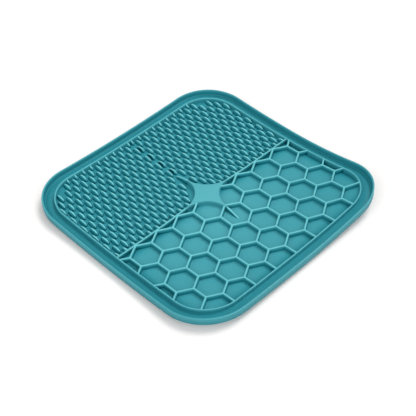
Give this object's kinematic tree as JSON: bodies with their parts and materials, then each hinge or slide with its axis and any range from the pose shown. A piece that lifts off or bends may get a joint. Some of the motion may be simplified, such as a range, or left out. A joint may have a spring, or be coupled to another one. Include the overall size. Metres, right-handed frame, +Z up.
{
  "type": "lick mat",
  "caption": "Square teal silicone lick mat with a raised rim, an overflow channel, a blade-textured half, a honeycomb half and a star between them.",
  "frame": {"origin": "Middle of the flat underside, on the surface that the mat rests on.", "axes": "+Z is up. The ridge between the two halves runs along Y through the middle, with the honeycomb half on +X and the bladed half on -X. The mat mirrors about the XZ plane."},
  "size_m": [0.2, 0.2, 0.006],
  "materials": {
    "silicone": "satin moulded silicone, opaque, very slightly translucent at thin edges"
  },
  "bodies": {
    "root": {"base_sheet": "silicone", "outer_rim": "silicone", "frame_wall": "silicone", "centre_star": "silicone", "ridge_back": "silicone", "ridge_front": "silicone", "arm_left": "silicone", "arm_right": "silicone", "ribs_across": "silicone", "ribs_rising": "silicone", "ribs_falling": "silicone", "blades_back": "silicone", "blades_front": "silicone"}
  },
  "joints": []
}
